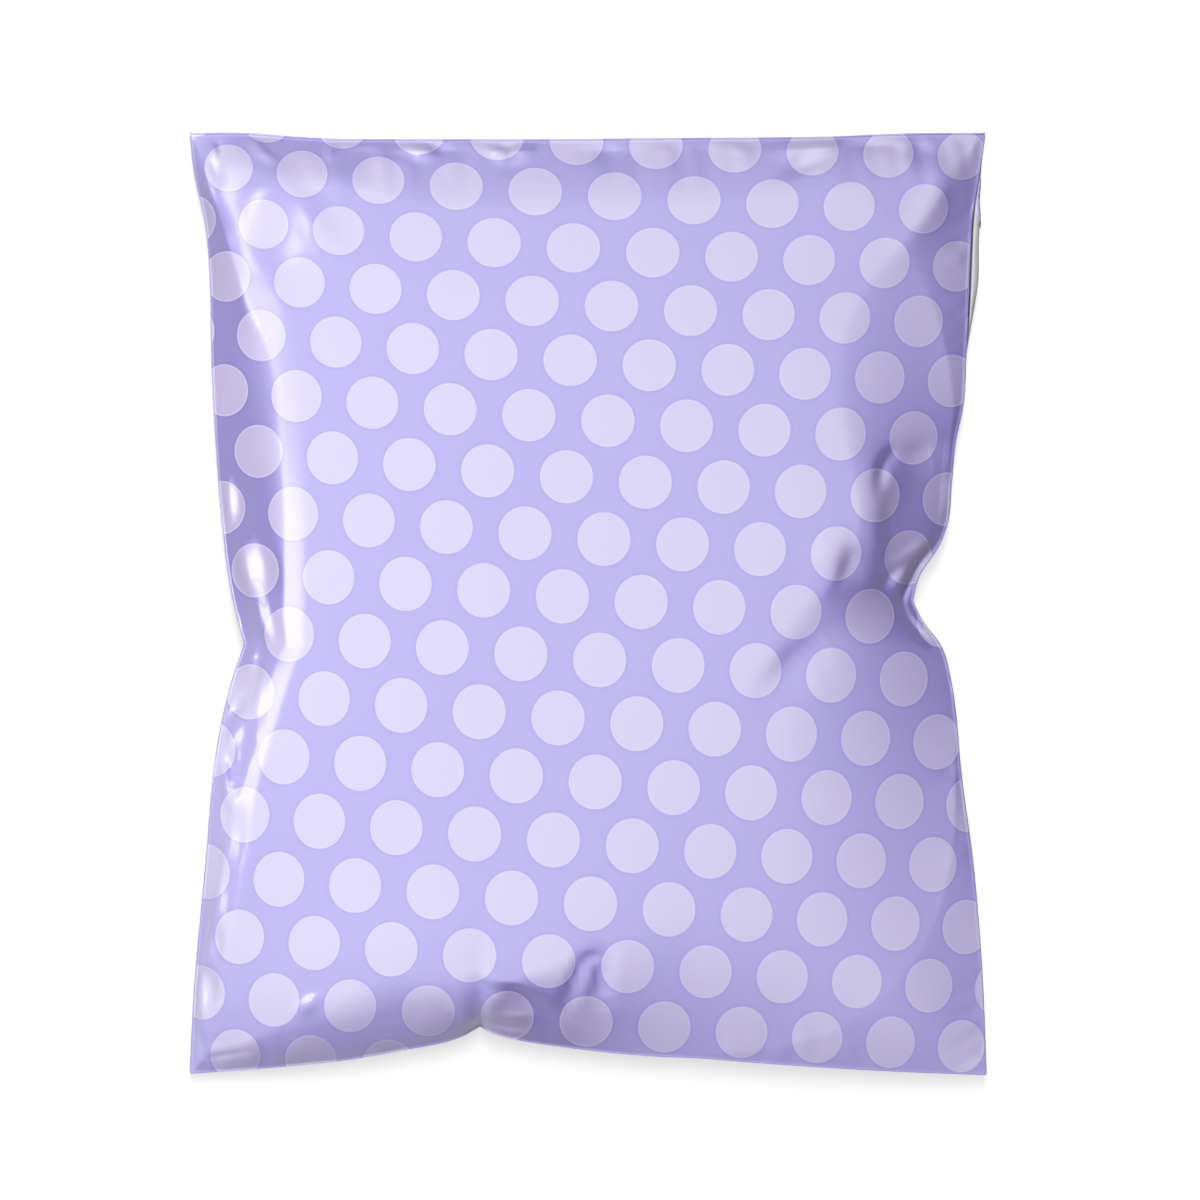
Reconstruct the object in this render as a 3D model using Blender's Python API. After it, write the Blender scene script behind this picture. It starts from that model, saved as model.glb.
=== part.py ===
"""A stuffed and sealed poly mailer bag, lying on its back.

Lengths are in metres. X runs across the bag, Y up its length and Z up from the table. The
origin is on the table, under the middle of the bag. One sheet of thin film makes the whole
bag: it is folded at the bottom, welded down both sides, filled, and its lip is folded over
the top and stuck to the back. So the bag is one solid, a gridded slab of film that is
shaped by the filling.
"""

import math

import bmesh
import bpy
import numpy as np

# The filled bag, corner to corner, and the height that the filling gives it
BAG_WIDTH = 0.250
BAG_LENGTH = 0.2955
FILLED_HEIGHT = 0.044

# The crown is highest low in the bag. It falls towards the top, a little towards the sides,
# and most into the corners.
CROWN_FALL_TO_TOP = 0.017
CROWN_FALL_ACROSS = 0.003
THICKEST_PLACE = -0.30
CORNER_SPREAD = 2.3

# The edges: how high they ride over the table, and how the two films meet there
CORNER_HEIGHT = 0.008
SIDE_HEIGHT = 0.017
TOP_HEIGHT = 0.013
LOWER_LEFT_LIFT = 0.004
WELD_WIDTH = 0.0018
WELD_THICKNESS = 0.0006

# The lip that closes the bag, folded over the top edge onto the back
LIP_LENGTH = 0.036
LIP_THICKNESS = 0.0006
LIP_CORNER_CUT = 0.012
LIP_EDGE_SLOPE = 0.0010

# The filling draws each edge in from the straight line between its corners, and the film
# buckles into a pinch where the edge is drawn in most. An edge is given as (share of the way
# along it, share of its greatest depth). The sides run down from the top, the ends run from
# left to right, and the two stretches of a pinched edge meet in its pinch.
LEFT_PINCH_DEPTH = 0.0179
RIGHT_PINCH_DEPTH = 0.0233
BOTTOM_PINCH_DEPTH = 0.0154
TOP_DRAW_IN = 0.0025
LEFT_EDGE = (
    ((0.0, 0.0), (0.045, 0.095), (0.092, 0.275), (0.134, 0.35), (0.262, 0.42), (0.39, 0.56),
     (0.475, 0.73), (0.52, 0.89), (0.542, 1.0)),
    ((0.542, 1.0), (0.581, 0.79), (0.645, 0.55), (0.773, 0.32), (0.9, 0.105), (1.0, 0.0)),
)
RIGHT_EDGE = (
    ((0.0, 0.0), (0.044, 0.09), (0.087, 0.185), (0.122, 0.215), (0.235, 0.275), (0.29, 0.32),
     (0.327, 0.415), (0.37, 0.47), (0.412, 0.525), (0.439, 0.65), (0.47, 0.91), (0.497, 1.0)),
    ((0.497, 1.0), (0.518, 0.87), (0.544, 0.62), (0.582, 0.485), (0.688, 0.34), (0.772, 0.2),
     (0.878, 0.08), (1.0, 0.0)),
)
BOTTOM_EDGE = (
    ((0.0, 0.0), (0.078, 0.1), (0.191, 0.29), (0.266, 0.5), (0.342, 0.785), (0.365, 1.0)),
    ((0.365, 1.0), (0.379, 0.87), (0.398, 0.77), (0.474, 0.57), (0.568, 0.41), (0.643, 0.35),
     (0.719, 0.25), (0.869, 0.1), (1.0, 0.0)),
)
TOP_EDGE = (
    ((0.0, 0.0), (0.07, 0.08), (0.14, 0.64), (0.2, 0.92), (0.45, 1.0)),
    ((0.45, 1.0), (0.6, 0.84), (0.8, 0.6), (0.9, 0.16), (1.0, 0.0)),
)
DRAW_IN_FADE = 2.0

# From each edge the front rises in a flank, and goes on more gently in a shoulder as far as
# the crown. Each has its greatest width, and the share of it at shares of the way along.
LEFT_FLANK = 0.018
LEFT_SHOULDER = 0.027
RIGHT_FLANK = 0.048
RIGHT_SHOULDER = 0.084
BOTTOM_FLANK = 0.036
BOTTOM_SHOULDER = 0.066
TOP_FLANK = 0.016
TOP_SHOULDER = 0.054
LEFT_FLANK_ALONG = ((0.0, 0.17), (0.05, 0.2), (0.094, 0.36), (0.124, 0.47), (0.21, 0.78),
                    (0.3, 0.97), (0.4, 1.0), (0.48, 0.8), (0.54, 0.67), (0.68, 0.61),
                    (0.773, 0.56), (0.9, 0.33), (1.0, 0.22))
LEFT_SHOULDER_ALONG = ((0.0, 0.22), (0.05, 0.44), (0.124, 0.89), (0.3, 1.0), (0.4, 0.96),
                       (0.54, 0.74), (0.773, 0.67), (0.9, 0.48), (1.0, 0.3))
RIGHT_FLANK_ALONG = ((0.0, 0.15), (0.07, 0.23), (0.12, 0.4), (0.17, 0.58), (0.26, 0.69),
                     (0.34, 0.6), (0.47, 0.54), (0.52, 0.71), (0.58, 0.875), (0.68, 1.0),
                     (0.8, 0.92), (0.9, 0.625), (1.0, 0.21))
RIGHT_SHOULDER_ALONG = ((0.0, 0.12), (0.1, 0.43), (0.2, 0.76), (0.34, 0.67), (0.47, 0.6),
                        (0.58, 0.88), (0.68, 1.0), (0.8, 0.95), (0.9, 0.71), (1.0, 0.21))
BOTTOM_FLANK_ALONG = ((0.0, 0.17), (0.078, 0.28), (0.134, 0.42), (0.266, 0.56), (0.365, 0.47),
                      (0.44, 0.7), (0.511, 0.95), (0.64, 1.0), (0.72, 0.95), (0.83, 0.8),
                      (0.9, 0.55), (1.0, 0.17))
BOTTOM_SHOULDER_ALONG = ((0.0, 0.18), (0.134, 0.52), (0.365, 0.6), (0.511, 0.8), (0.72, 1.0),
                         (0.9, 0.7), (1.0, 0.21))
TOP_FLANK_ALONG = ((0.0, 0.44), (0.2, 0.75), (0.35, 1.0), (0.6, 0.94), (0.8, 0.8), (1.0, 0.5))
TOP_SHOULDER_ALONG = ((0.0, 0.26), (0.2, 0.7), (0.35, 1.0), (0.6, 1.0), (0.8, 0.8), (1.0, 0.26))

# For the left, right, bottom and top: the share of the rise that is left to the shoulder, and
# how round the flank and the shoulder are
SHOULDER_SHARES = (0.38, 0.28, 0.36, 0.42)
FLANK_ROUNDINGS = (1.35, 1.35, 1.5, 1.8)
SHOULDER_ROUNDINGS = (1.5, 2.0, 2.0, 2.0)
HIP_SHARPNESS = 5.0
UNDER_HIP_SHARPNESS = 3.0

# The back rises from the table to the edges in flanks of its own
UNDER_FLANK = 0.034
UNDER_LIP_FLANK = 0.048
UNDER_ROUNDING = 1.7

# At the upper right the weld is rolled forwards, so the back bulges out past it
ROLL_BULGE = 0.0052
ROLL_WIDTH = 0.012
ROLL_ALONG = ((0.0, 0.0), (0.015, 0.0), (0.05, 0.6), (0.09, 1.0), (0.13, 0.95), (0.21, 0.65),
              (0.28, 0.4), (0.32, 0.0), (1.0, 0.0))

# The folds that run in from the pinches and the corners. A line's points are shares of half
# the bag's width and length, from its middle. A height below zero makes a valley, and each
# side of the line has its own spread, as seen along the line.
FOLDS = {
    "left_pinch_arm": {
        "line": ((-0.86, 0.149), (-0.828, 0.061), (-0.796, -0.027), (-0.78, -0.081)),
        "height": 0.0042, "spread_left": 0.0034, "spread_right": 0.0036,
    },
    "upper_left_ridge": {
        "line": ((-0.816, 0.88), (-0.76, 0.816), (-0.696, 0.758)),
        "height": 0.0014, "spread_left": 0.0070, "spread_right": 0.0070,
    },
    "lower_left_ridge": {
        "line": ((-0.856, -0.352), (-0.866, -0.443), (-0.892, -0.565), (-0.962, -0.81)),
        "height": 0.0016, "spread_left": 0.0030, "spread_right": 0.0036,
    },
    "right_pocket": {
        "line": ((0.747, 0.264), (0.76, 0.179), (0.755, 0.104)),
        "height": -0.0026, "spread_left": 0.0065, "spread_right": 0.0050,
    },
    "right_pocket_top": {
        "line": ((0.75, 0.302), (0.798, 0.313), (0.86, 0.323)),
        "height": -0.0014, "spread_left": 0.0040, "spread_right": 0.0045,
    },
    "right_pocket_edge": {
        "line": ((0.732, 0.257), (0.716, 0.21), (0.712, 0.149), (0.716, 0.095)),
        "height": 0.0016, "spread_left": 0.0036, "spread_right": 0.0070,
    },
    "right_dimple": {
        "line": ((0.664, 0.125), (0.65, 0.089), (0.63, 0.051)),
        "height": -0.0020, "spread_left": 0.0050, "spread_right": 0.0045,
    },
    "right_diagonal_valley": {
        "line": ((0.66, -0.05), (0.592, -0.075), (0.522, -0.115), (0.454, -0.183)),
        "height": -0.0026, "spread_left": 0.0090, "spread_right": 0.0050,
    },
    "bottom_pocket": {
        "line": ((-0.224, -0.812), (-0.16, -0.839), (-0.096, -0.866)),
        "height": -0.0026, "spread_left": 0.0050, "spread_right": 0.0060,
    },
    "bottom_left_dip": {
        "line": ((-0.48, -0.907), (-0.376, -0.887), (-0.288, -0.9)),
        "height": -0.0016, "spread_left": 0.0050, "spread_right": 0.0050,
    },
    "bottom_finger_valley": {
        "line": ((-0.04, -0.83), (-0.008, -0.76), (0.016, -0.745)),
        "height": -0.0022, "spread_left": 0.0050, "spread_right": 0.0050,
    },
}
FOLD_END_SHARE = 0.35
FOLD_END_ROUNDING = 0.7
FOLD_CLEARANCE = 0.006

# The gathers, small waves across the flanks beside the welds
GATHER_HEIGHT = 0.0005
GATHER_LENGTH = 0.021
GATHER_REACH = 0.011

# The film's grid: how many cells across and up, and how far they crowd towards the edges
CELLS_ACROSS = 48
CELLS_UP = 58
CELLS_UNDER_LIP = 12
CROWDING = 0.55

# The film: printed on the front, plain on the back
PRINTED_COLOUR = (0.555, 0.515, 0.905, 1.0)
BACK_COLOUR = (0.72, 0.72, 0.73, 1.0)
FILM_ROUGHNESS = 0.28


def clear_scene():
    for old in list(bpy.data.objects):
        bpy.data.objects.remove(old, do_unlink=True)


def smooth_through(share, points):
    """A smooth line through the points that never swings past them."""
    at = np.array([point[0] for point in points])
    value = np.array([point[1] for point in points])
    step = np.diff(at)
    rise = np.diff(value) / step
    slope = np.concatenate([rise[:1], (rise[:-1] + rise[1:]) / 2, rise[-1:]])
    turning = np.concatenate([[False], rise[:-1] * rise[1:] <= 0, [False]])
    slope[turning] = 0.0
    limit = 3 * np.minimum(np.abs(np.append(rise, rise[-1])), np.abs(np.insert(rise, 0, rise[0])))
    slope = np.sign(slope) * np.minimum(np.abs(slope), limit)
    share = np.clip(share, at[0], at[-1])
    place = np.clip(np.searchsorted(at, share, side="right") - 1, 0, len(step) - 1)
    reach = step[place]
    t = (share - at[place]) / reach
    return (
        (1 + 2 * t) * (1 - t) ** 2 * value[place]
        + t * (1 - t) ** 2 * reach * slope[place]
        + t * t * (3 - 2 * t) * value[place + 1]
        + t * t * (t - 1) * reach * slope[place + 1]
    )


def crowded(count):
    """count + 1 stations from 0 to 1, closer together towards both ends."""
    even = np.linspace(0.0, 1.0, count + 1)
    return even - CROWDING * np.sin(2 * math.pi * even) / (2 * math.pi)


def places_across(columns):
    """Where the grid's columns lie across the flat bag, with a weld strip down each side."""
    inner = crowded(CELLS_ACROSS - 2) * (BAG_WIDTH - 2 * WELD_WIDTH) + WELD_WIDTH
    return np.concatenate([[0.0], inner, [BAG_WIDTH]])[columns]


def lip_edge_at(across):
    """How far up the bag the lip's free edge lies; its corners are cut back at a slant."""
    to_side = np.minimum(across, BAG_WIDTH - across)
    return BAG_LENGTH - LIP_LENGTH + np.maximum(0.0, LIP_CORNER_CUT - to_side)


def places_up(rows, lip_edge):
    """Where the grid's rows lie up the flat bag, with a close pair at the lip's free edge."""
    rows_below = CELLS_UP - CELLS_UNDER_LIP - 1
    below = crowded(rows_below)[np.minimum(rows, rows_below)] * lip_edge
    start = lip_edge + LIP_EDGE_SLOPE
    above = start + (BAG_LENGTH - start) * (rows - rows_below - 1) / CELLS_UNDER_LIP
    return np.where(rows <= rows_below, below, above)


def edge_inset(share, stretches, depth):
    """How far in from the line between its corners an edge lies, at a share of its way."""
    first, second = stretches
    before = smooth_through(share, first)
    after = smooth_through(share, second)
    return depth * np.where(share < first[-1][0], before, after)


def plan_of(across, up):
    """Where a point of the film goes, seen from above, with its distance in from each edge."""
    left = edge_inset(1 - up, LEFT_EDGE, LEFT_PINCH_DEPTH)
    right = edge_inset(1 - up, RIGHT_EDGE, RIGHT_PINCH_DEPTH)
    bottom = edge_inset(across, BOTTOM_EDGE, BOTTOM_PINCH_DEPTH)
    top = edge_inset(across, TOP_EDGE, TOP_DRAW_IN)
    plan_x = BAG_WIDTH * (across - 0.5)
    plan_x = plan_x + left * (1 - across) ** DRAW_IN_FADE - right * across**DRAW_IN_FADE
    plan_y = BAG_LENGTH * (up - 0.5)
    plan_y = plan_y + bottom * (1 - up) ** DRAW_IN_FADE - top * up**DRAW_IN_FADE
    half_width, half_length = BAG_WIDTH / 2, BAG_LENGTH / 2
    to_edges = (
        plan_x + half_width - left,
        half_width - right - plan_x,
        plan_y + half_length - bottom,
        half_length - top - plan_y,
    )
    return plan_x, plan_y, to_edges


def nearest_flank(to_edges, widths, sharpness):
    """How far in the nearest flank reaches here, as a share, and each flank's say in it.

    The four flanks meet in hips that run in from the corners, as on a hipped roof."""
    pulls = []
    for distance, width in zip(to_edges, widths):
        share = np.clip((distance - WELD_WIDTH) / width, 1e-3, None)
        pulls.append(share**-sharpness)
    total = sum(pulls)
    return np.clip(total ** (-1 / sharpness), 0.0, 1.0), [pull / total for pull in pulls]


def mixed(pulls, values):
    return sum(pull * value for pull, value in zip(pulls, values))


def risen(to_edges, widths, roundings, sharpness):
    """How far up the slope from the edge a point is: 0 along the edge, 1 on the level part."""
    share, pulls = nearest_flank(to_edges, widths, sharpness)
    return 1 - (1 - share) ** mixed(pulls, roundings)


def rim_height(across, up):
    """The height of the edge, which droops towards the corners and to the top."""
    s, t = 2 * across - 1, 2 * up - 1
    lift = np.clip((1 - np.abs(s) ** 3) + (1 - np.abs(t) ** 3), 0.0, 1.0)
    middle = SIDE_HEIGHT + (TOP_HEIGHT - SIDE_HEIGHT) * np.clip(t, 0.0, 1.0) ** 2
    middle = middle + LOWER_LEFT_LIFT * np.exp(-(((up - 0.25) / 0.2) ** 2)) * (1 - across) ** 6
    return CORNER_HEIGHT + (middle - CORNER_HEIGHT) * lift


def crown_height(across, up):
    s, t = 2 * across - 1, 2 * up - 1
    to_top = np.clip((t - THICKEST_PLACE) / (1 - THICKEST_PLACE), 0.0, None)
    height = FILLED_HEIGHT - CROWN_FALL_TO_TOP * to_top**2 - CROWN_FALL_ACROSS * s**2
    corner = np.clip(1 - np.abs(s * t) ** CORNER_SPREAD, 0.0, 1.0)
    rim = rim_height(across, up)
    return rim + (height - rim) * corner


def fold_height(plan_x, plan_y, fold):
    """A ridge or a valley along the fold's line, with a spread of its own on either side."""
    line = np.array(fold["line"]) * (BAG_WIDTH / 2, BAG_LENGTH / 2)
    lengths = np.hypot(*np.diff(line, axis=0).T)
    nearest = np.full(plan_x.shape, np.inf)
    side = np.zeros(plan_x.shape)
    along = np.zeros(plan_x.shape)
    passed = 0.0
    for start, end, length in zip(line[:-1], line[1:], lengths):
        step = (end - start) / length
        from_x, from_y = plan_x - start[0], plan_y - start[1]
        run = np.clip(from_x * step[0] + from_y * step[1], 0.0, length)
        off = from_x * step[1] - from_y * step[0]
        gap = np.hypot(from_x - run * step[0], from_y - run * step[1])
        closer = gap < nearest
        nearest = np.where(closer, gap, nearest)
        side = np.where(closer, off, side)
        along = np.where(closer, passed + run, along)
        passed += length
    left, right = fold["spread_left"], fold["spread_right"]
    spread = left + (right - left) * np.clip(0.5 + side / (left + right), 0.0, 1.0)
    taper = np.clip(np.sin(math.pi * along / passed), 0.0, 1.0) ** FOLD_END_ROUNDING
    taper = FOLD_END_SHARE + (1 - FOLD_END_SHARE) * taper
    return fold["height"] * taper * np.exp(-((nearest / spread) ** 2))


def gathers(across, up, to_edges):
    """Small waves along the welds, which die away as they run in."""
    raised = 0.0
    lengths = (up * BAG_LENGTH, up * BAG_LENGTH, across * BAG_WIDTH, across * BAG_WIDTH)
    for distance, along in zip(to_edges, lengths):
        fade = np.exp(-((distance / GATHER_REACH) ** 2))
        raised = raised + GATHER_HEIGHT * np.sin(2 * math.pi * along / GATHER_LENGTH) * fade
    return raised


def front_points(across, up):
    """The printed front, which the filling raises through flanks and shoulders to a crown."""
    plan_x, plan_y, to_edges = plan_of(across, up)
    down = 1 - up
    flanks = (
        LEFT_FLANK * smooth_through(down, LEFT_FLANK_ALONG),
        RIGHT_FLANK * smooth_through(down, RIGHT_FLANK_ALONG),
        BOTTOM_FLANK * smooth_through(across, BOTTOM_FLANK_ALONG),
        TOP_FLANK * smooth_through(across, TOP_FLANK_ALONG),
    )
    shoulders = (
        LEFT_SHOULDER * smooth_through(down, LEFT_SHOULDER_ALONG),
        RIGHT_SHOULDER * smooth_through(down, RIGHT_SHOULDER_ALONG),
        BOTTOM_SHOULDER * smooth_through(across, BOTTOM_SHOULDER_ALONG),
        TOP_SHOULDER * smooth_through(across, TOP_SHOULDER_ALONG),
    )
    share = mixed(nearest_flank(to_edges, flanks, HIP_SHARPNESS)[1], SHOULDER_SHARES)
    slope = (1 - share) * risen(to_edges, flanks, FLANK_ROUNDINGS, HIP_SHARPNESS)
    slope = slope + share * risen(to_edges, shoulders, SHOULDER_ROUNDINGS, HIP_SHARPNESS)
    rim = rim_height(across, up) + WELD_THICKNESS / 2
    raised = rim + (crown_height(across, up) - rim) * slope
    relief = sum(fold_height(plan_x, plan_y, fold) for fold in FOLDS.values())
    relief = relief + gathers(across, up, to_edges)
    from_weld = np.clip((np.minimum.reduce(to_edges) - WELD_WIDTH) / FOLD_CLEARANCE, 0.0, 1.0)
    return np.stack([plan_x, plan_y, raised + relief * from_weld], axis=1)


def back_points(across, up, under_lip):
    """The plain back, level where it rests on the table, and the lip stuck over its top."""
    plan_x, plan_y, to_edges = plan_of(across, up)
    flanks = (UNDER_FLANK, UNDER_FLANK, UNDER_FLANK, UNDER_LIP_FLANK)
    slope = risen(to_edges, flanks, (UNDER_ROUNDING,) * 4, UNDER_HIP_SHARPNESS)
    height = (rim_height(across, up) - WELD_THICKNESS / 2) * (1 - slope)
    rolled = smooth_through(1 - up, ROLL_ALONG)
    from_weld = np.clip(to_edges[1], 0.0, ROLL_WIDTH)
    share = from_weld / ROLL_WIDTH
    wrapped = from_weld * (1 - share) + ROLL_BULGE * np.sin(math.pi * share)
    height = height - LIP_THICKNESS * under_lip
    return np.stack([plan_x + rolled * wrapped, plan_y, height], axis=1)


def film_material(name, colour):
    material = bpy.data.materials.new(name)
    material.use_nodes = True
    shader = material.node_tree.nodes["Principled BSDF"]
    shader.inputs["Base Color"].default_value = colour
    shader.inputs["Roughness"].default_value = FILM_ROUGHNESS
    shader.inputs["Metallic"].default_value = 0.0
    return material


def make_bag(collection):
    bm = bmesh.new()
    bmesh.ops.create_grid(bm, x_segments=CELLS_ACROSS, y_segments=CELLS_UP, size=0.5)
    extruded = bmesh.ops.extrude_face_region(bm, geom=bm.faces[:])
    back = {item for item in extruded["geom"] if isinstance(item, bmesh.types.BMVert)}
    is_back = np.array([vertex in back for vertex in bm.verts])
    grid = np.array([vertex.co[:2] for vertex in bm.verts]) + 0.5
    columns = np.rint(grid[:, 0] * CELLS_ACROSS).astype(int)
    rows = np.rint(grid[:, 1] * CELLS_UP).astype(int)

    across = places_across(columns)
    up = places_up(rows, lip_edge_at(across)) / BAG_LENGTH
    across = across / BAG_WIDTH
    under_lip = (rows > CELLS_UP - CELLS_UNDER_LIP - 1) & (rows < CELLS_UP)
    under_lip = under_lip & (columns > 0) & (columns < CELLS_ACROSS)
    places = np.where(
        is_back[:, None], back_points(across, up, under_lip), front_points(across, up)
    )
    for vertex, place in zip(bm.verts, places):
        vertex.co = place.tolist()
    plain = {vertex for vertex, is_plain in zip(bm.verts, is_back & ~under_lip) if is_plain}
    for face in bm.faces:
        face.material_index = int(plain.issuperset(face.verts))
    bmesh.ops.recalc_face_normals(bm, faces=bm.faces[:])

    mesh = bpy.data.meshes.new("mailer_bag")
    bm.to_mesh(mesh)
    bm.free()
    mesh.shade_smooth()
    bag = bpy.data.objects.new("mailer_bag", mesh)
    collection.objects.link(bag)
    return bag


def main():
    clear_scene()
    collection = bpy.data.collections.new("poly_mailer_bag")
    bpy.context.scene.collection.children.link(collection)
    bag = make_bag(collection)
    bag.data.materials.append(film_material("printed_film", PRINTED_COLOUR))
    bag.data.materials.append(film_material("plain_back_film", BACK_COLOUR))


main()
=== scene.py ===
"""The looks of a stuffed poly mailer bag that lies on its back, seen from straight above.

Lengths are in metres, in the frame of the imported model: X across the bag, Y up its length to
the folded lip, Z up from the table through the printed front.
"""

import math

import bmesh
import bpy
import numpy as np
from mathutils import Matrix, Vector


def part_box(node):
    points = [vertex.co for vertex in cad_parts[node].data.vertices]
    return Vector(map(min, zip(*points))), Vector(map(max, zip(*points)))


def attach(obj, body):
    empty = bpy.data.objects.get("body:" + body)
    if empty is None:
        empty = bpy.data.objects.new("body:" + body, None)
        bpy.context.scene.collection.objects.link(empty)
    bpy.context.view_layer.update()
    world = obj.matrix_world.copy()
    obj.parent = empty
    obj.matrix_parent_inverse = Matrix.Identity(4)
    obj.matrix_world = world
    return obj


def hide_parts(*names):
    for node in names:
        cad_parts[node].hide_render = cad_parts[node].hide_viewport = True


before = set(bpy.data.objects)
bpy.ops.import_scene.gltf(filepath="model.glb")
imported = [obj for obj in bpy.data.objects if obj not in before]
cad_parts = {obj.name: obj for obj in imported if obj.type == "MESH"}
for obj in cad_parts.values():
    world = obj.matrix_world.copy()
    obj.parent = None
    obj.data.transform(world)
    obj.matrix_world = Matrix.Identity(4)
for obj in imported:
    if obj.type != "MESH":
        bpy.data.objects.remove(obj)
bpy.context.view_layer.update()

# The outline of the bag
# The bag is one sheet of polyethylene film, folded at the bottom and welded down both sides.
# Its filling draws the edges in from the straight lines between the corners, and the film
# buckles inwards at one place on each side and one at the bottom.

BAG_LOW, BAG_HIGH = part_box("mailer_bag")
BAG_WIDTH = BAG_HIGH.x - BAG_LOW.x
BAG_LENGTH = BAG_HIGH.y - BAG_LOW.y
BAG_HEIGHT = BAG_HIGH.z - BAG_LOW.z

# Each edge as (share of the way along it, millimetres in from the line between its corners).
# The two stretches of an edge meet in its pinch. The sides run down from the top.
LEFT_EDGE = (
    ((0.0, 0.0), (0.045, 1.7), (0.092, 4.9), (0.134, 6.3), (0.262, 7.5), (0.39, 10.0),
     (0.475, 13.0), (0.52, 16.0), (0.542, 17.9)),
    ((0.542, 17.9), (0.581, 14.1), (0.645, 9.9), (0.773, 5.8), (0.9, 1.9), (1.0, 0.0)),
)
RIGHT_EDGE = (
    ((0.0, 0.0), (0.0445, 2.1), (0.087, 4.3), (0.122, 5.0), (0.235, 6.4), (0.29, 7.4),
     (0.327, 9.7), (0.37, 11.0), (0.412, 12.2), (0.4386, 15.1), (0.47, 21.2), (0.4968, 23.3)),
    ((0.4968, 23.3), (0.518, 20.2), (0.5445, 14.4), (0.5816, 11.3), (0.6875, 7.9),
     (0.772, 4.6), (0.878, 1.9), (1.0, 0.0)),
)
BOTTOM_EDGE = (
    ((0.0, 0.0), (0.078, 1.6), (0.191, 4.5), (0.266, 7.7), (0.342, 12.1), (0.365, 15.4)),
    ((0.365, 15.4), (0.379, 13.4), (0.398, 11.9), (0.474, 8.8), (0.568, 6.3), (0.643, 5.4),
     (0.719, 3.9), (0.869, 1.5), (1.0, 0.0)),
)
TOP_EDGE = (((0.0, 0.0), (0.07, 0.2), (0.14, 1.6), (0.2, 2.3), (0.45, 2.5)),
            ((0.45, 2.5), (0.6, 2.1), (0.8, 1.5), (0.9, 0.4), (1.0, 0.0)))


def smooth_through(share, points):
    """A smooth line through the points that never swings past them."""
    at = np.array([point[0] for point in points])
    value = np.array([point[1] for point in points])
    step = np.diff(at)
    rise = np.diff(value) / step
    slope = np.concatenate([rise[:1], (rise[:-1] + rise[1:]) / 2, rise[-1:]])
    turning = np.concatenate([[False], rise[:-1] * rise[1:] <= 0, [False]])
    slope[turning] = 0.0
    limit = 3 * np.minimum(np.abs(np.append(rise, rise[-1])), np.abs(np.insert(rise, 0, rise[0])))
    slope = np.sign(slope) * np.minimum(np.abs(slope), limit)
    share = np.clip(share, at[0], at[-1])
    k = np.clip(np.searchsorted(at, share, side="right") - 1, 0, len(step) - 1)
    h = step[k]
    t = (share - at[k]) / h
    return (
        (1 + 2 * t) * (1 - t) ** 2 * value[k]
        + t * (1 - t) ** 2 * h * slope[k]
        + t * t * (3 - 2 * t) * value[k + 1]
        + t * t * (t - 1) * h * slope[k + 1]
    )


def edge_inset(share, stretches):
    """How far in the edge lies, in metres, at a share of the way along it."""
    first, second = stretches
    pinch = first[-1][0]
    inset = np.where(share < pinch, smooth_through(share, first), smooth_through(share, second))
    return inset / 1000


# The filled bag
# The filling lifts the printed front to a broad crown, thickest low in the bag. Round it the
# film slopes down to the welds in flanks, narrow and steep on the left, wide on the right.

# Round the crown the film drops in a flank and, inside that, a softer shoulder. Both widths are
# in millimetres in from the weld, at shares of the way down a side or across an end.
LEFT_FLANK = ((0.0, 2.5), (0.05, 3.2), (0.1, 5), (0.145, 8.2), (0.177, 11.6), (0.2, 15.2),
              (0.23, 19.6), (0.3, 21.8), (0.4, 21), (0.48, 17.5), (0.54, 13), (0.6, 12), (0.68, 11),
              (0.773, 10.5), (0.83, 8), (0.9, 5.5), (1.0, 4))
LEFT_SHOULDER = ((0.0, 5), (0.05, 7), (0.1, 10), (0.145, 15), (0.187, 23), (0.23, 27), (0.3, 29),
                 (0.4, 28), (0.48, 25), (0.54, 20), (0.63, 18), (0.7, 14.5), (0.773, 13), (0.9, 9),
                 (1.0, 7))
RIGHT_FLANK = ((0.0, 7), (0.07, 11), (0.12, 22), (0.17, 33), (0.22, 39), (0.27, 40), (0.34, 33),
               (0.42, 28), (0.47, 27), (0.5, 33), (0.53, 46), (0.56, 56), (0.6, 57), (0.68, 58),
               (0.8, 56),
               (0.9, 44), (1.0, 20))
RIGHT_SHOULDER = ((0.0, 10), (0.1, 36), (0.2, 64), (0.34, 56), (0.47, 50), (0.58, 74),
                  (0.68, 90), (0.8, 90), (0.9, 76), (1.0, 30))
BOTTOM_FLANK = ((0.0, 6), (0.078, 10), (0.134, 16), (0.266, 26), (0.343, 21), (0.39, 17.5),
                (0.43, 23), (0.48, 30), (0.52, 36), (0.64, 42), (0.72, 42), (0.83, 36),
                 (0.9, 28), (1.0, 14))
BOTTOM_SHOULDER = ((0.0, 12), (0.134, 34), (0.365, 40), (0.511, 52), (0.64, 70), (0.83, 76),
                   (0.9, 60), (1.0, 24))
TOP_FLANK = ((0.0, 9), (0.2, 16), (0.35, 22), (0.6, 21), (0.8, 17), (1.0, 10))
TOP_SHOULDER = ((0.0, 14), (0.2, 40), (0.35, 56), (0.6, 56), (0.8, 44), (1.0, 14))

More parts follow.
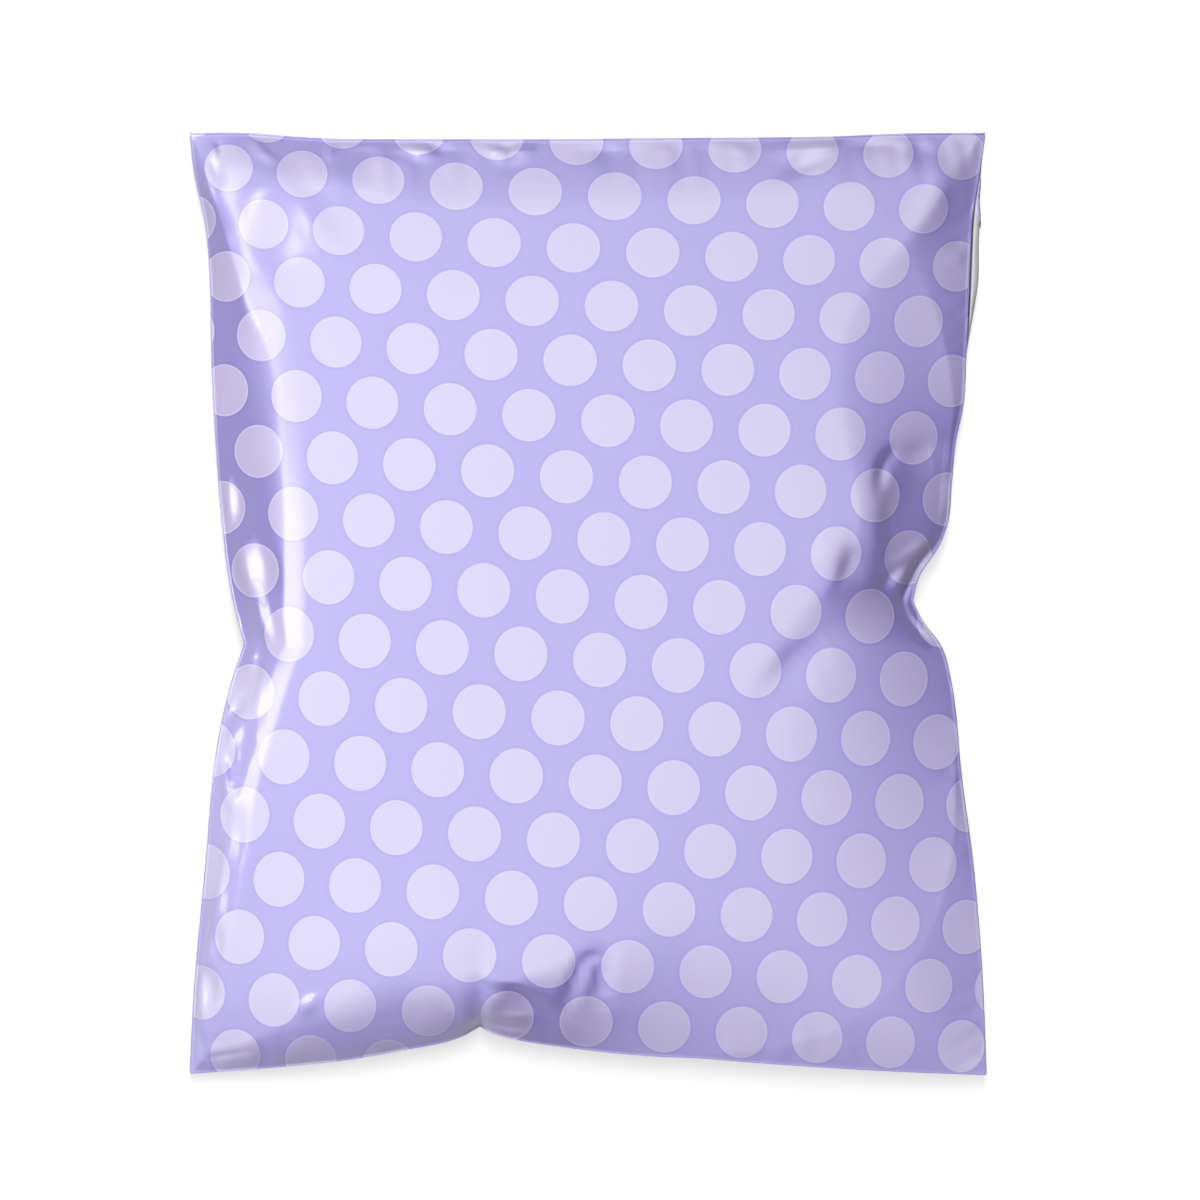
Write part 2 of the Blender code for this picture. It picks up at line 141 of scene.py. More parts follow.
# The share of the rise that is left to the shoulder, and how round each flank is
LEFT_SHARE = ((0.0, 0.42), (1.0, 0.42))
RIGHT_SHARE = ((0.0, 0.24), (0.5, 0.24), (0.7, 0.34), (1.0, 0.40))
BOTTOM_SHARE = ((0.0, 0.30), (0.5, 0.28), (0.65, 0.44), (1.0, 0.50))
TOP_SHARE = ((0.0, 0.42), (1.0, 0.42))
LEFT_ROUNDING = ((0.0, 1.35), (1.0, 1.35))
RIGHT_ROUNDING = ((0.0, 1.35), (0.47, 1.4), (0.6, 1.9), (1.0, 2.1))
BOTTOM_ROUNDING = ((0.0, 1.8), (0.26, 2.1), (0.34, 2.1), (0.39, 1.5), (0.44, 1.7), (0.52, 1.8),
                   (0.62, 1.8), (1.0, 1.8))
TOP_ROUNDING = ((0.0, 1.6), (1.0, 1.6))
UNDER_FLANK = 0.034
UNDER_LIP_FLANK = 0.048
HIP_SHARPNESS = 5.0
SOFT_CORNER = 4.0
UNDER_HIP_SHARPNESS = 3.0

# For the left, right, bottom and top: how round the shoulders and the flanks of the back are
SHOULDER_ROUNDING = (1.75, 2.0, 2.0, 2.0)
UNDER_ROUNDING = (1.7, 1.7, 1.7, 1.7)

# How much painted shade each flank gets where it is steep, from 0 for none to 1
LEFT_PAINTED_SHADE = ((0.0, 0.5), (0.1, 1.0), (0.45, 1.0), (0.54, 0.6), (0.62, 0.15), (0.9, 0.0),
               (1.0, 0.2))
RIGHT_PAINTED_SHADE = ((0.0, 0.2), (0.1, 0.5), (0.2, 0.95), (0.32, 0.9), (0.42, 0.72), (0.55, 0.8),
                (0.7, 0.9), (0.85, 0.4), (1.0, 0.0))
BOTTOM_PAINTED_SHADE = ((0.0, 0.2), (0.25, 0.15), (0.345, 0.15), (0.372, 0.25), (0.398, 0.9), (0.47, 0.8),
                 (0.53, 0.35), (0.6, 0.0), (1.0, 0.0))
TOP_PAINTED_SHADE = ((0.0, 0.2), (0.3, 0.35), (0.8, 0.3), (1.0, 0.4))

# Heights over the table
CORNER_RIM = 0.008
SIDE_RIM = 0.017
LOWER_LEFT_RIM = 0.029
LOWER_RIGHT_LIFT = 0.008
TOP_RIM = 0.016
CROWN_FALL_TO_TOP = 0.017
CROWN_FALL_ACROSS = 0.003
THICKEST_PLACE = -0.30
CORNER_SPREAD = 2.3
UPPER_LEFT_SPREAD = 1.6
WELD_WIDTH = 0.0005
WELD_THICKNESS = 0.0004


def placed(across, up):
    """The plan of the film point at these shares, with its distance in from each edge."""
    down = 1 - up
    left = edge_inset(down, LEFT_EDGE)
    right = edge_inset(down, RIGHT_EDGE)
    bottom = edge_inset(across, BOTTOM_EDGE)
    top = edge_inset(across, TOP_EDGE)
    x = BAG_LOW.x + BAG_WIDTH * across + left * (1 - across) ** 2 - right * across**2
    y = BAG_LOW.y + BAG_LENGTH * up + bottom * (1 - up) ** 2 - top * up**2
    from_left = x - BAG_LOW.x - left
    from_right = BAG_HIGH.x - right - x
    from_bottom = y - BAG_LOW.y - bottom
    from_top = BAG_HIGH.y - top - y
    return x, y, (from_left, from_right, from_bottom, from_top)


def flank_pull(distances, widths, sharpness):
    """How far in the nearest flank reaches here, as a share of its width, and who pulls most."""
    pulls = []
    for distance, width in zip(distances, widths):
        share = np.clip((distance - WELD_WIDTH) / width, 1e-3, None)
        pulls.append(share**-sharpness)
    total = sum(pulls)
    return np.clip(total ** (-1 / sharpness), 0.0, 1.0), [pull / total for pull in pulls]


def mixed(pulls, values):
    return sum(pull * value for pull, value in zip(pulls, values))


def risen(distances, widths, roundings, sharpness):
    """0 on the welds and 1 on the crown; the four flanks meet in hips from the corners."""
    nearest, pulls = flank_pull(distances, widths, sharpness)
    return 1 - (1 - nearest) ** mixed(pulls, roundings)


def hip_sharpness(across, up):
    """The hips are sharp, but soft in the lower right corner."""
    return HIP_SHARPNESS - SOFT_CORNER * (across * (1 - up)) ** 2


def rim_height(across, up):
    """The height of the welds: the film droops towards the corners."""
    s = np.abs(2 * across - 1)
    t = np.abs(2 * up - 1)
    droop = np.clip((1 - s**3) + (1 - t**3), 0.0, 1.0)
    middle = SIDE_RIM + (TOP_RIM - SIDE_RIM) * np.clip(up * 2 - 1, 0.0, 1.0) ** 2
    lower_left = np.exp(-(((up - 0.32) / 0.16) ** 2)) * (1 - across) ** 6
    middle = middle + (LOWER_LEFT_RIM - SIDE_RIM) * lower_left
    lower_right = np.exp(-(((up - 0.1) / 0.28) ** 2)) * across**3
    return CORNER_RIM + (middle - CORNER_RIM) * droop + LOWER_RIGHT_LIFT * lower_right


def crown_height(across, up):
    """The height of the crown: highest low in the bag, falling to the top and the corners."""
    s = 2 * across - 1
    t = 2 * up - 1
    to_top = np.clip((t - THICKEST_PLACE) / (1 - THICKEST_PLACE), 0.0, None)
    height = BAG_HEIGHT - CROWN_FALL_TO_TOP * to_top**2 - CROWN_FALL_ACROSS * s**2
    spread = CORNER_SPREAD + UPPER_LEFT_SPREAD * ((1 - across) * up) ** 2
    corner = 1 - np.abs(s * t) ** spread
    rim = rim_height(across, up)
    return rim + (height - rim) * np.clip(corner, 0.0, 1.0)


# The folds in the printed front, where the buckled film runs in from its pinches. Each is a
# line of points in millimetres from the middle of the bag, a height (below zero for a
# valley), and how far it spreads to the left and to the right of the way it runs.
FOLDS = {
    "top left corner ridge": (((-121.7, 137), (-119.8, 131.6), (-117.9, 127)), 0.9, 1.5, 2),
    "top left corner crease": (((-116.3, 146), (-115.7, 139.4), (-115.1, 132.5)), -0.9, 1.4, 2.4),
    "upper left soft ridge": (((-96, 129), (-88, 119.5), (-80, 111)), 1.4, 6, 7),
    "top soft ridge": (((-82, 135), (-72, 128)), 0.7, 6, 6),
    "left notch arm": (((-109, 22), (-106.6, 12), (-103.2, 2), (-99.5, -9)), 2.0, 1.6, 2.6),
    "lower left crease 1": (((-115, -38), (-111, -34), (-107, -30)), -2.4, 1.5, 2.0),
    "lower left dimple": (((-106.5, -42), (-105, -46)), -1.8, 2.2, 2.2),
    "lower left crease 2": (((-112.5, -46), (-109.5, -53), (-108, -58)), -2.4, 1.4, 1.8),
    "lower left facet 2": (((-113.5, -50), (-112, -57), (-110, -63)), 2.6, 1.8, 1.8),
    "lower left crease 3": (((-107.6, -46), (-107.4, -53)), -1.6, 1.2, 1.4),
    "bottom left corner ridge": (((-122, -133), (-119.6, -139), (-117.9, -143.8)), 0.8, 1.6, 1.8),
    "bottom left hem line": (((-123, -143), (-106, -140)), -0.5, 1.1, 1.1),
    "right pocket top": (((93.7, 44.6), (99.7, 46.2), (107.5, 47.7)), -1.4, 3, 4),
    "right pocket crease": (((95, 47.7), (91.5, 42.7), (90.6, 36.4)), -1.8, 2.4, 1.5),
    "right pocket": (((105, 44), (101.5, 36), (96, 26.4), (92, 18.5)), -1.6, 9, 8),
    "right pocket edge": (((91.5, 38), (89.5, 31), (89, 22), (89.5, 14)), 1.0, 2.4, 7),
    "right dimple brow": (((78.7, 20), (77.4, 15), (75.8, 9.4)), 1.3, 2.0, 7),
    "right dimple": (((83, 18.5), (81.2, 13.2), (78.7, 7.5)), -1.9, 5.4, 4.6),
    "right notch band": (((94.4, 11.3), (100.6, 14.8), (108, 19.8)), 1.5, 2.4, 2.8),
    "right notch crease": (((110, 19.8), (104.4, 13.2), (101, 7.5), (98.4, 1)), -2.8, 1.5, 1.5),
    "right diagonal valley": (((74, -11), (65.2, -16.5), (56.7, -27)), -2.0, 7, 4),
    "bottom pinch ridge": (((-34, -132), (-31.5, -126), (-28, -121)), 2.4, 7.0, 2.2),
    "bottom pocket": (((-26, -119.2), (-22, -120.6), (-17.0, -123.5), (-12, -128)), -2.6, 1.4, 4),
    "bottom pocket floor": (((-28, -128), (-23, -128.7), (-18, -128.4)), 0.8, 1.4, 1.2),
    "bottom pocket arc": (((-30, -130), (-26, -132), (-20, -132.4)), -1.0, 1.1, 1.3),
    "bottom pinch streak": (((-36, -131), (-39, -127), (-42, -124)), 1.0, 2.0, 2.4),
    "finger left valley": (((-8.6, -128), (-6.1, -122.5), (-2.8, -114.5), (0.0, -109.6),
                            (3.0, -108.4)), -2.0, 1.7, 1.7),
    "finger right valley": (((5.0, -108.6), (4.2, -112), (4.2, -117), (5.5, -122)), -2.6, 3.0, 5.0),
    "finger ridge": (((1.4, -110.6), (0.0, -114), (-0.6, -121)), 1.5, 1.4, 1.4),
    "bottom left glint": (((-90, -127), (-84, -122.5)), 1.4, 2.0, 2.4),
    "top right hip": (((121, 145), (116.5, 139.5), (110, 131.5), (106, 122),
                       (99.5, 113.5)), 1.2, 5, 4),
    "top right dent": (((99, 142), (106, 142), (111, 141.5)), -0.7, 3, 3),
    "top pucker 1": (((-80, 146), (-80.5, 143), (-81, 139.5)), 1.3, 1.0, 1.2),
    "top pucker 1 arm": (((-77, 146), (-71, 144.5), (-63, 144.5)), 0.9, 1.2, 1.8),
    "top pucker 2 dip": (((-27, 144), (-23.5, 143.4)), -1.1, 1.2, 1.2),
    "top pucker 3": (((-105, 146), (-102, 142), (-98, 139)), 1.3, 1.2, 2.0),
    "top pucker 2 rise": (((-31, 143), (-25.3, 138.4), (-19, 143.5)), 1.3, 2.4, 2.4),
    "top spot rise": (((-58, 141.8), (-50, 141.8)), 1.3, 2.4, 2.4),
    "top dip 1": (((-48, 143.5), (-42, 142.5)), -1.5, 3.0, 3.0),
    "top dip 2": (((2, 142.5), (12, 141)), -1.2, 5, 4.5),
    "top pucker 4": (((48, 144), (50, 140), (48, 136)), 0.9, 2, 2.6),
    "top pucker 5": (((60, 142), (71, 144)), 1.2, 2.2, 2.6),
    "top dip 3": (((84, 145), (95, 144.5)), -1.0, 2.4, 3.0),
}


# Facets: small patches that the buckled film holds flat between its creases. Each has its
# middle, its half length and half width, the way it runs in degrees, how steeply it rises to
# the right and up the bag, and how fully it holds.
FACETS = {
    "upper left easing": ((-98, 121), (12, 9), 100, (0.05, -0.05), 0.9),
    "top left corner": ((-117, 138.8), (5.2, 1.9), 100, (0.27, -0.24), 1.0),
    "left edge": ((-111.2, 32.4), (8, 4.6), 96, (0.36, 0.0), 1.0),
    "upper left sheen": ((-101.2, 95), (11, 6.5), 118, (0.27, -0.05), 0.85),
    "left spot": ((-106.6, 31.7), (1.5, 1.3), 90, (0.36, 0.0), 0.9),
    "left notch arm": ((-103.0, 11.6), (9.5, 5.0), 103, (0.36, -0.02), 1.0),
    "left notch arm foot": ((-100.0, -4.2), (8.5, 3.2), 111, (0.36, 0.0), 1.0),
    "below the left notch": ((-103.2, -16.6), (4.2, 2.2), 105, (0.36, 0.0), 1.0),
    "further below the notch": ((-101.0, -30.4), (6.2, 2.2), 86, (0.40, 0.0), 1.0),
    "lower left upper": ((-108.5, -41.0), (5.6, 2.8), 50, (0.36, 0.0), 1.0),
    "lower left lower": ((-110.4, -57.0), (4.4, 2.2), 60, (0.34, 0.0), 0.9),
    "lower left line 1": ((-106.6, -60), (10, 2.8), 79, (0.36, 0.0), 1.0),
    "lower left line 2": ((-109.9, -77), (11, 3.1), 79, (0.36, 0.0), 1.0),
    "lower left line 3": ((-113.4, -94), (11, 2.9), 79, (0.36, 0.0), 1.0),
    "lower left line 4": ((-117.0, -110), (9, 2.6), 79, (0.38, 0.0), 1.0),
    "bottom left dot": ((-120.2, -122.0), (9, 4.2), 84, (0.36, -0.03), 1.0),
    "bottom left corner": ((-122.0, -140.0), (5.0, 2.6), 80, (0.34, 0.0), 0.9),
    "top pucker left": ((-28.6, 140.2), (5.2, 2.6), 135, (0.33, -0.25), 1.0),
    "top pucker right": ((-21.6, 140.4), (5.6, 2.4), 55, (0.33, -0.25), 1.0),
    "top spot": ((-54, 141.6), (5.2, 3.2), 0, (0.33, -0.25), 1.0),
    "top right band": ((70.5, 140.5), (9, 3.0), 35, (0.10, -0.10), 0.8),
    "right small": ((96, 8.4), (4.4, 2.6), 20, (-0.06, 0.10), 0.9),
    "below the right notch": ((104.6, -6.4), (6.6, 3.2), 140, (-0.22, 0.16), 0.9),
}


def with_facets(x, y, z):
    """The surface with each facet's patch levelled to its slope about its own middle."""
    for middle, halves, way, slopes, hold in FACETS.values():
        off_x, off_y = x * 1000 - middle[0], y * 1000 - middle[1]
        turn = math.radians(way)
        along = (off_x * math.cos(turn) + off_y * math.sin(turn)) / halves[0]
        aside = (off_y * math.cos(turn) - off_x * math.sin(turn)) / halves[1]
        held = hold * np.exp(-((along**2 + aside**2) ** 1.6))
        level = np.average(z, weights=np.exp(-((off_x**2 + off_y**2))) + 1e-12)
        patch = level + (off_x * slopes[0] + off_y * slopes[1]) / 1000
        z = z + held * (patch - z)
    return z


def fold_height(x, y, line, height, to_left, to_right):
    """A ridge or a valley along the line, with a slope of its own on either side."""
    line = np.array(line) / 1000
    nearest = np.full(x.shape, np.inf)
    side = np.zeros(x.shape)
    along = np.zeros(x.shape)
    lengths = np.hypot(*np.diff(line, axis=0).T)
    total = lengths.sum()
    passed = 0.0
    for start, end, length in zip(line[:-1], line[1:], lengths):
        step = (end - start) / length
        run = (x - start[0]) * step[0] + (y - start[1]) * step[1]
        off = (x - start[0]) * step[1] - (y - start[1]) * step[0]
        held = np.clip(run, 0.0, length)
        gap = np.hypot(run - held, off)
        closer = gap < nearest
        nearest = np.where(closer, gap, nearest)
        side = np.where(closer, off, side)
        along = np.where(closer, passed + held, along)
        passed += length
    spread = (to_left + to_right) / 2000
    blend = np.clip(0.5 + side / spread / 2, 0.0, 1.0)
    width = (to_left * (1 - blend) + to_right * blend) / 1000
    taper = 0.35 + 0.65 * np.sin(math.pi * np.clip(along / total, 0.0, 1.0)) ** 0.7
    return height / 1000 * taper * np.exp(-((nearest / width) ** 2))


# Gathers: the small waves that run inwards from a weld. For each side, their height in
# millimetres and how far in they reach.
GATHERS = ((0.2, 8), (0.25, 9), (0.35, 11), (0.55, 13))
GATHER_LENGTHS = (0.0075, 0.011, 0.017, 0.027)


def gathers(x, y, distances):
    """Waves of mixed lengths along each weld, fading as they run in over the filling."""
    draw = np.random.default_rng(4)
    raised = np.zeros(x.shape)
    for (height, reach), along, inwards in zip(GATHERS, (y, y, x, x), distances):
        wave = np.zeros(x.shape)
        for length in GATHER_LENGTHS:
            phase, lean = draw.uniform(0, 2 * math.pi), draw.uniform(-0.5, 0.5)
            wave = wave + np.sin(2 * math.pi * (along + lean * inwards) / length + phase)
        swell = 0.5 + 0.5 * np.sin(2 * math.pi * along / 0.083 + draw.uniform(0, 2 * math.pi))
        raised = raised + height / 2000 * wave * swell * np.exp(-((inwards * 1000 / reach) ** 2))
    return raised


def all_folds(x, y):
    return sum(fold_height(x, y, *fold) for fold in FOLDS.values())


def along_sides(across, up, tables):
    left, right, bottom, top = tables
    down = 1 - up
    return (
        smooth_through(down, left),
        smooth_through(down, right),
        smooth_through(across, bottom),
        smooth_through(across, top),
    )


def front_of(across, up):
    """The printed front."""
    x, y, distances = placed(across, up)
    flanks = along_sides(across, up, (LEFT_FLANK, RIGHT_FLANK, BOTTOM_FLANK, TOP_FLANK))
    shoulders = along_sides(
        across, up, (LEFT_SHOULDER, RIGHT_SHOULDER, BOTTOM_SHOULDER, TOP_SHOULDER)
    )
    flanks = [width / 1000 for width in flanks]
    shoulders = [width / 1000 for width in shoulders]
    shares = along_sides(across, up, (LEFT_SHARE, RIGHT_SHARE, BOTTOM_SHARE, TOP_SHARE))
    roundings = along_sides(
        across, up, (LEFT_ROUNDING, RIGHT_ROUNDING, BOTTOM_ROUNDING, TOP_ROUNDING)
    )
    sharpness = hip_sharpness(across, up)
    _, pulls = flank_pull(distances, flanks, sharpness)
    share = mixed(pulls, shares)
    slope = (1 - share) * risen(distances, flanks, roundings, sharpness)
    slope = slope + share * risen(distances, shoulders, SHOULDER_ROUNDING, sharpness)
    rim = rim_height(across, up) + WELD_THICKNESS / 2
    z = rim + (crown_height(across, up) - rim) * slope
    from_weld = np.clip((np.minimum.reduce(distances) - WELD_WIDTH) / 0.003, 0.0, 1.0)
    folded = z + all_folds(x, y) + gathers(x, y, distances)
    return x, y, z + (with_facets(x, y, folded) - z) * from_weld


def painted_flank_shade_share(across, up):
    """How much painted shade the front gets here where it is steep, mixed from the tables of the
    four sides.
    """
    _, _, distances = placed(across, up)
    flanks = along_sides(across, up, (LEFT_FLANK, RIGHT_FLANK, BOTTOM_FLANK, TOP_FLANK))
    flanks = [width / 1000 for width in flanks]
    _, pulls = flank_pull(distances, flanks, hip_sharpness(across, up))
    painted_flank_shades = along_sides(across, up, (LEFT_PAINTED_SHADE, RIGHT_PAINTED_SHADE, BOTTOM_PAINTED_SHADE, TOP_PAINTED_SHADE))
    return mixed(pulls, painted_flank_shades)


# At the upper right the filling rolls the back film out past the front's weld, with a narrow gap
# beside it. Its share of the full bulge is given at shares of the way down the side.
ROLL_BULGE = 0.0054
ROLL_WIDTH = 0.012
ROLL_ALONG = ((0.0, 0.0), (0.01, 0.05), (0.022, 0.3), (0.049, 0.62), (0.07, 0.72), (0.091, 0.92),
              (0.118, 0.95), (0.15, 1.0), (0.182, 0.88), (0.214, 0.68), (0.245, 0.5),
              (0.277, 0.2), (0.31, 0.0), (1.0, 0.0))
GAP_DEPTH = 0.0020
GAP_PLACE = 0.0003
GAP_WIDTH = 0.0007


def back_wrinkles(x, y, distances):
    """Shallow wrinkles that run in from the welds over the edge of the back."""
    draw = np.random.default_rng(9)
    raised = np.zeros(x.shape)
    for count, from_side in ((13, 0), (13, 1), (10, 2), (9, 3)):
        for place in (np.arange(count) + draw.uniform(0.2, 0.8, count)) / count * 1.8 - 0.9:
            near, lean = draw.uniform(3, 9), draw.uniform(-9, 9)
            length, height = draw.uniform(12, 34), draw.uniform(-0.9, 0.7)
            outer, along = (118, 140 * place) if from_side < 2 else (138, 118 * place)
            start = np.array((outer - near, along))
            end = np.array((outer - near - length, along + lean - 0.12 * along))
            if from_side >= 2:
                start, end = start[::-1], end[::-1]
            flip = np.array(((-1, 1), (1, 1), (1, -1), (1, 1))[from_side])
            line = (start * flip, (start + end) / 2 * flip + draw.uniform(-1, 1, 2), end * flip)
            raised = raised + fold_height(x, y, line, height, *draw.uniform(1.4, 3.4, 2))
    from_weld = np.clip((np.minimum.reduce(distances) - 0.002) / 0.004, 0.0, 1.0)
    return raised * from_weld


def back_of(across, up):
    """The plain back, which lies level on the table inside its flanks."""
    x, y, distances = placed(across, up)
    widths = (UNDER_FLANK, UNDER_FLANK, UNDER_FLANK, UNDER_LIP_FLANK)
    slope = risen(distances, widths, UNDER_ROUNDING, UNDER_HIP_SHARPNESS)
    z = (rim_height(across, up) - WELD_THICKNESS / 2) * (1 - slope)
    z = np.maximum(z + back_wrinkles(x, y, distances), 0.0)
    rolled = smooth_through(1 - up, ROLL_ALONG)
    from_weld = np.clip(distances[1], 0.0, ROLL_WIDTH)
    share = from_weld / ROLL_WIDTH
    wrapped = from_weld * (1 - share) + ROLL_BULGE * np.sin(math.pi * share) ** 1.2
    gap = GAP_DEPTH * np.exp(-(((from_weld - GAP_PLACE) / GAP_WIDTH) ** 2))
    return x + rolled * wrapped, y, z - rolled * gap


def crowded(count, crowding=0.68):
    """count + 1 stations from 0 to 1, closer together towards both ends."""
    even = np.linspace(0.0, 1.0, count + 1)
    return even - crowding * np.sin(2 * math.pi * even) / (2 * math.pi)


# The print on the front: pale dots in rows that slant across the bag
CELLS_ACROSS = 196
CELLS_UP = 240


def print_place(x, y):
    """Where a point of the filled bag lies on the flat print, as the filling stretches it."""
    s = x / (BAG_WIDTH / 2)
    t = y / (BAG_LENGTH / 2)
    u = -5.2 + 125.8 * s + 0.3 * t + 0.9 * s**2 - 0.8 * s * t + 0.7 * t**2 + 4.4 * s**3
    u = u - 1.2 * s**2 * t - 1.6 * s * t**2 + 0.3 * t**3
    v = -19.9 + 145.2 * t - 1.7 * s**2 - 0.4 * s * t + 4.0 * t**2 - 0.5 * s**3
    v = v - 1.7 * s**2 * t - 0.6 * s * t**2 + 3.7 * t**3
    return u / 1000, v / 1000


def sheet_mesh(name, cells_across, cells_up):
    """A closed, gridded slab of film, with each point's place on it from 0 to 1."""
    bm = bmesh.new()
    bmesh.ops.create_grid(bm, x_segments=cells_across, y_segments=cells_up, size=0.5)
    extruded = bmesh.ops.extrude_face_region(bm, geom=bm.faces[:])
    bm.verts.index_update()
    back = {item for item in extruded["geom"] if isinstance(item, bmesh.types.BMVert)}
    flat = np.array([vertex.co[:2] for vertex in bm.verts]) + 0.5
    is_back = np.array([vertex in back for vertex in bm.verts])
    for face in bm.faces:
        face.material_index = int(all(vertex in back for vertex in face.verts))
        face.smooth = True
    mesh = bpy.data.meshes.new(name)
    bm.to_mesh(mesh)
    bm.free()
    return mesh, flat, is_back


def finish_sheet(mesh, points, u, v):
    """Move the slab to its points, lay the flat print's map on it and face it outwards."""
    mesh.vertices.foreach_set("co", points.astype(np.float32).ravel())
    corners = np.empty(len(mesh.loops), np.int32)
    mesh.loops.foreach_get("vertex_index", corners)
    place = np.stack([u[corners], v[corners]], 1).astype(np.float32)
    mesh.uv_layers.new(name="film").data.foreach_set("uv", place.ravel())
    bm = bmesh.new()
    bm.from_mesh(mesh)
    bmesh.ops.recalc_face_normals(bm, faces=bm.faces[:])
    bm.to_mesh(mesh)
    bm.free()


def mark_points(mesh, name, values):
    """Keep a value for each point of the mesh, which its material reads."""
    mark = mesh.attributes.new(name, "FLOAT", "POINT")
    mark.data.foreach_set("value", values.astype(np.float32))


bag_mesh, flat, is_back = sheet_mesh("filled_bag", CELLS_ACROSS, CELLS_UP)
across = np.interp(flat[:, 0], np.linspace(0, 1, CELLS_ACROSS + 1), crowded(CELLS_ACROSS))
up = np.interp(flat[:, 1], np.linspace(0, 1, CELLS_UP + 1), crowded(CELLS_UP))
front = np.stack(front_of(across, up), 1)
back = np.stack(back_of(across, up), 1)
points = np.where(is_back[:, None], back, front)
finish_sheet(bag_mesh, points, *print_place(points[:, 0], points[:, 1]))

# Painted shade: the film's colour is made deeper where it is steep, as far as each side's table of
# painted shade allows, and where it turns away from the key lamp. A part that is level, or nearly,
# counts as not steep.
NOT_STEEP = 0.975
FULLY_STEEP = 0.70
KEY_PLACE = (-0.66, 0.14, 1.35)
FULLY_AWAY = 0.5
normals = np.empty(len(bag_mesh.vertices) * 3, np.float32)
bag_mesh.vertex_normals.foreach_get("vector", normals)
normals = normals.reshape(-1, 3)
steep = np.clip((NOT_STEEP - np.abs(normals[:, 2])) / (NOT_STEEP - FULLY_STEEP), 0.0, 1.0)
steep = steep * steep * (3 - 2 * steep)
mark_points(bag_mesh, "painted_flank_shade", steep * painted_flank_shade_share(across, up))
# Painted shade where the film turns away from the key lamp
to_key = np.array(KEY_PLACE) / np.linalg.norm(KEY_PLACE)
away = np.clip((1 - normals @ to_key / to_key[2]) / FULLY_AWAY, 0.0, 1.0)
mark_points(bag_mesh, "painted_away_shade", away)
bag = bpy.data.objects.new("filled_bag", bag_mesh)
bpy.context.scene.collection.objects.link(bag)


def socket(tree, kind, name, value=None, output=False):
    item = tree.interface.new_socket(
        name=name, in_out="OUTPUT" if output else "INPUT", socket_type=kind
    )
    if value is not None:
        item.default_value = value
    return item


def maths_in(tree):
    """A function that adds one maths node to the tree, from numbers and other nodes' outputs."""

    def maths(operation, *values):
        node = tree.nodes.new("ShaderNodeMath")
        node.operation = operation
        for place, value in zip(node.inputs, values):
            if isinstance(value, (int, float)):
                place.default_value = value
            else:
                tree.links.new(value, place)
        return node.outputs[0]

    return maths


# The print: the step from dot to dot along a row, the step to the next row, and how far the ink
# of a dot's edge, its lighter rim and the darker film round it spread, all in metres
ROW_STEP = (0.0246, -0.00176)
NEXT_ROW = (0.0116, -0.0193)
INK_EDGE = 0.00012
RIM_BAND = (0.0002, 0.0003)
HALO_BAND = (-0.0004, 0.0009)


def dot_print_group():
    """Rows of pale dots on flat film, each dot with the thin lighter rim that the ink leaves."""
    tree = bpy.data.node_groups.new("DotPrint", "ShaderNodeTree")
    socket(tree, "NodeSocketVector", "Film Place")
    socket(tree, "NodeSocketFloat", "Diameter", 0.0165)
    socket(tree, "NodeSocketFloat", "Dot", output=True)
    socket(tree, "NodeSocketFloat", "Rim", output=True)
    socket(tree, "NodeSocketFloat", "Halo", output=True)
    nodes, links = tree.nodes, tree.links
    entry = nodes.new("NodeGroupInput")
    leave = nodes.new("NodeGroupOutput")
    maths = maths_in(tree)

    split = nodes.new("ShaderNodeSeparateXYZ")
    links.new(entry.outputs["Film Place"], split.inputs[0])
    u, v = split.outputs[0], split.outputs[1]
    ax, ay, bx, by = ROW_STEP[0], ROW_STEP[1], NEXT_ROW[0], NEXT_ROW[1]
    size = ax * by - ay * bx
    i = maths("ADD", maths("MULTIPLY", u, by / size), maths("MULTIPLY", v, -bx / size))
    j = maths("ADD", maths("MULTIPLY", u, -ay / size), maths("MULTIPLY", v, ax / size))
    i0, j0 = maths("FLOOR", i), maths("FLOOR", j)
    fi, fj = maths("SUBTRACT", i, i0), maths("SUBTRACT", j, j0)
    nearest = None
    for di in (0, 1):
        for dj in (0, 1):
            ri, rj = maths("SUBTRACT", fi, di), maths("SUBTRACT", fj, dj)
            dx = maths("ADD", maths("MULTIPLY", ri, ax), maths("MULTIPLY", rj, bx))
            dy = maths("ADD", maths("MULTIPLY", ri, ay), maths("MULTIPLY", rj, by))
            squares = (maths("MULTIPLY", dx, dx), maths("MULTIPLY", dy, dy))
            away = maths("SQRT", maths("ADD", *squares))
            nearest = away if nearest is None else maths("MINIMUM", nearest, away)
    radius = maths("MULTIPLY", entry.outputs["Diameter"], 0.5)
    inside = maths("SUBTRACT", radius, nearest)

    def band(centre, half):
        gap = maths("ABSOLUTE", maths("SUBTRACT", inside, centre))
        shown = maths("SUBTRACT", 1.0, maths("DIVIDE", gap, half))
        return maths("MAXIMUM", shown, 0.0)

    ramp = nodes.new("ShaderNodeMapRange")
    ramp.interpolation_type = "SMOOTHSTEP"
    links.new(inside, ramp.inputs["Value"])
    ramp.inputs["From Min"].default_value = -INK_EDGE
    ramp.inputs["From Max"].default_value = INK_EDGE
    links.new(ramp.outputs[0], leave.inputs["Dot"])
    links.new(band(*RIM_BAND), leave.inputs["Rim"])
    links.new(band(*HALO_BAND), leave.inputs["Halo"])
    return tree


